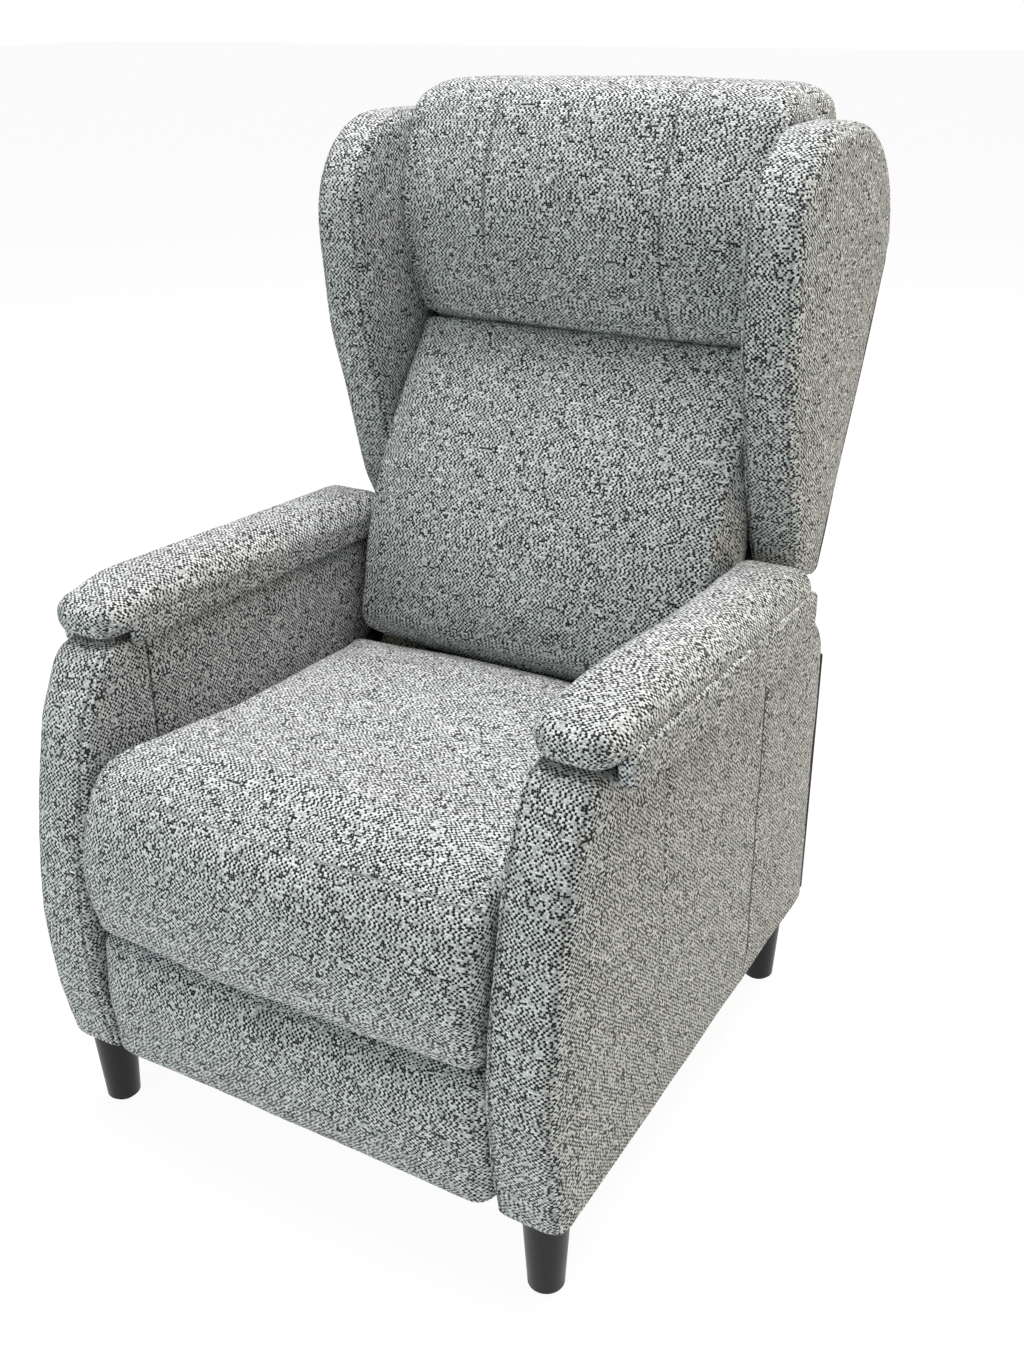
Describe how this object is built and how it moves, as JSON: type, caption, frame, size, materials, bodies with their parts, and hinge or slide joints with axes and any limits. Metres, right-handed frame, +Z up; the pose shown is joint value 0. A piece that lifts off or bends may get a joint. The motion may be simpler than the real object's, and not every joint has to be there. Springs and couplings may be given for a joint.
{
  "type": "pushback recliner",
  "caption": "Wing-back pushback recliner chair in chunky grey tweed: padded arms, reclining back, gliding seat and a footrest that folds out on links.",
  "frame": {"origin": "on the floor, in the middle of the upright chair's box", "axes": "+Z up, -Y towards the front of the chair, +X to the side"},
  "size_m": [0.666, 0.8905, 1.0849],
  "materials": {
    "tweed": "chunky basket weave",
    "dark_lining": "plain matt cloth",
    "leg_black": "satin black",
    "glide": "matt",
    "timber": "sawn",
    "plywood": "sanded",
    "mechanism_black": "satin black",
    "zinc_steel": "zinc plated",
    "webbing": "woven elastic"
  },
  "bodies": {
    "base": {"right_arm_cover": "tweed", "left_arm_cover": "tweed", "right_arm_panel": "plywood", "left_arm_panel": "plywood", "right_arm_rails": "timber", "left_arm_rails": "timber", "right_arm_pad": "tweed", "left_arm_pad": "tweed", "right_front_leg": "leg_black", "left_front_leg": "leg_black", "right_rear_leg": "leg_black", "left_rear_leg": "leg_black", "leg_bolts": "zinc_steel", "leg_glides": "glide", "front_stretcher": "timber", "rear_stretcher": "timber", "rear_panel": "dark_lining", "dust_cover": "dark_lining", "right_base_rail": "mechanism_black", "left_base_rail": "mechanism_black", "base_rail_bolts": "zinc_steel", "base_pivot_rivets": "zinc_steel"},
    "front_swing": {"front_swing_links": "mechanism_black"},
    "rear_swing": {"rear_swing_links": "mechanism_black"},
    "seat": {"right_seat_rail": "timber", "left_seat_rail": "timber", "right_seat_plate": "mechanism_black", "left_seat_plate": "mechanism_black", "seat_cross_rails": "timber", "seat_front_board": "plywood", "seat_springs": "zinc_steel", "spring_clips": "zinc_steel", "seat_cushion": "tweed", "seat_cross_tube": "mechanism_black", "seat_bolts": "zinc_steel", "seat_pivot_rivets": "zinc_steel"},
    "back": {"right_back_post": "timber", "left_back_post": "timber", "right_wing_board": "plywood", "left_wing_board": "plywood", "right_wing_cover": "tweed", "left_wing_cover": "tweed", "back_cross_rails": "timber", "back_webbing": "webbing", "back_cushion": "tweed", "headrest_cushion": "tweed", "back_lining": "dark_lining", "back_brackets": "mechanism_black", "bracket_bolts": "zinc_steel", "back_pivot_pins": "zinc_steel"},
    "main_arm": {"main_links": "mechanism_black", "main_link_tube": "mechanism_black", "knee_rivets": "zinc_steel"},
    "front_arm": {"front_links": "mechanism_black", "footrest_rivets": "zinc_steel"},
    "footrest": {"footrest_board": "plywood", "footrest_pad": "tweed", "footrest_brackets": "mechanism_black"}
  },
  "joints": [
    {"name": "front_swing_turn", "type": "hinge", "parent": "base", "child": "front_swing", "pos_m": [0, -0.232, 0.165], "axis": [-1, 0, 0], "range_deg": [-38.01, 0]},
    {"name": "seat_turn", "type": "hinge", "parent": "front_swing", "child": "seat", "pos_m": [0, -0.17138, 0.2], "axis": [-1, 0, 0], "range_deg": [0, 38.01]},
    {"name": "back_recline", "type": "hinge", "parent": "seat", "child": "back", "pos_m": [0, 0.1, 0.4], "axis": [-1, 0, 0], "range_deg": [0, 26]},
    {"name": "rear_swing_turn", "type": "hinge", "parent": "base", "child": "rear_swing", "pos_m": [0, 0.058, 0.165], "axis": [-1, 0, 0], "range_deg": [-38.01, 0]},
    {"name": "main_arm_turn", "type": "hinge", "parent": "seat", "child": "main_arm", "pos_m": [0, -0.292, 0.236], "axis": [-1, 0, 0], "range_deg": [0, 150.84]},
    {"name": "front_arm_turn", "type": "hinge", "parent": "main_arm", "child": "front_arm", "pos_m": [0, -0.15082, 0.1506], "axis": [-1, 0, 0], "range_deg": [-141.92, 0]},
    {"name": "footrest_turn", "type": "hinge", "parent": "front_arm", "child": "footrest", "pos_m": [0, -0.352, 0.19], "axis": [-1, 0, 0], "range_deg": [0, 81.09]}
  ],
  "couplings": [
    {"joint": "front_swing_turn", "follows": "back_recline", "ratio": -1.4615},
    {"joint": "seat_turn", "follows": "back_recline", "ratio": 1.4615},
    {"joint": "rear_swing_turn", "follows": "back_recline", "ratio": -1.4615},
    {"joint": "main_arm_turn", "follows": "back_recline", "ratio": 5.8011},
    {"joint": "front_arm_turn", "follows": "back_recline", "ratio": -5.4581},
    {"joint": "footrest_turn", "follows": "back_recline", "ratio": 3.1185}
  ]
}
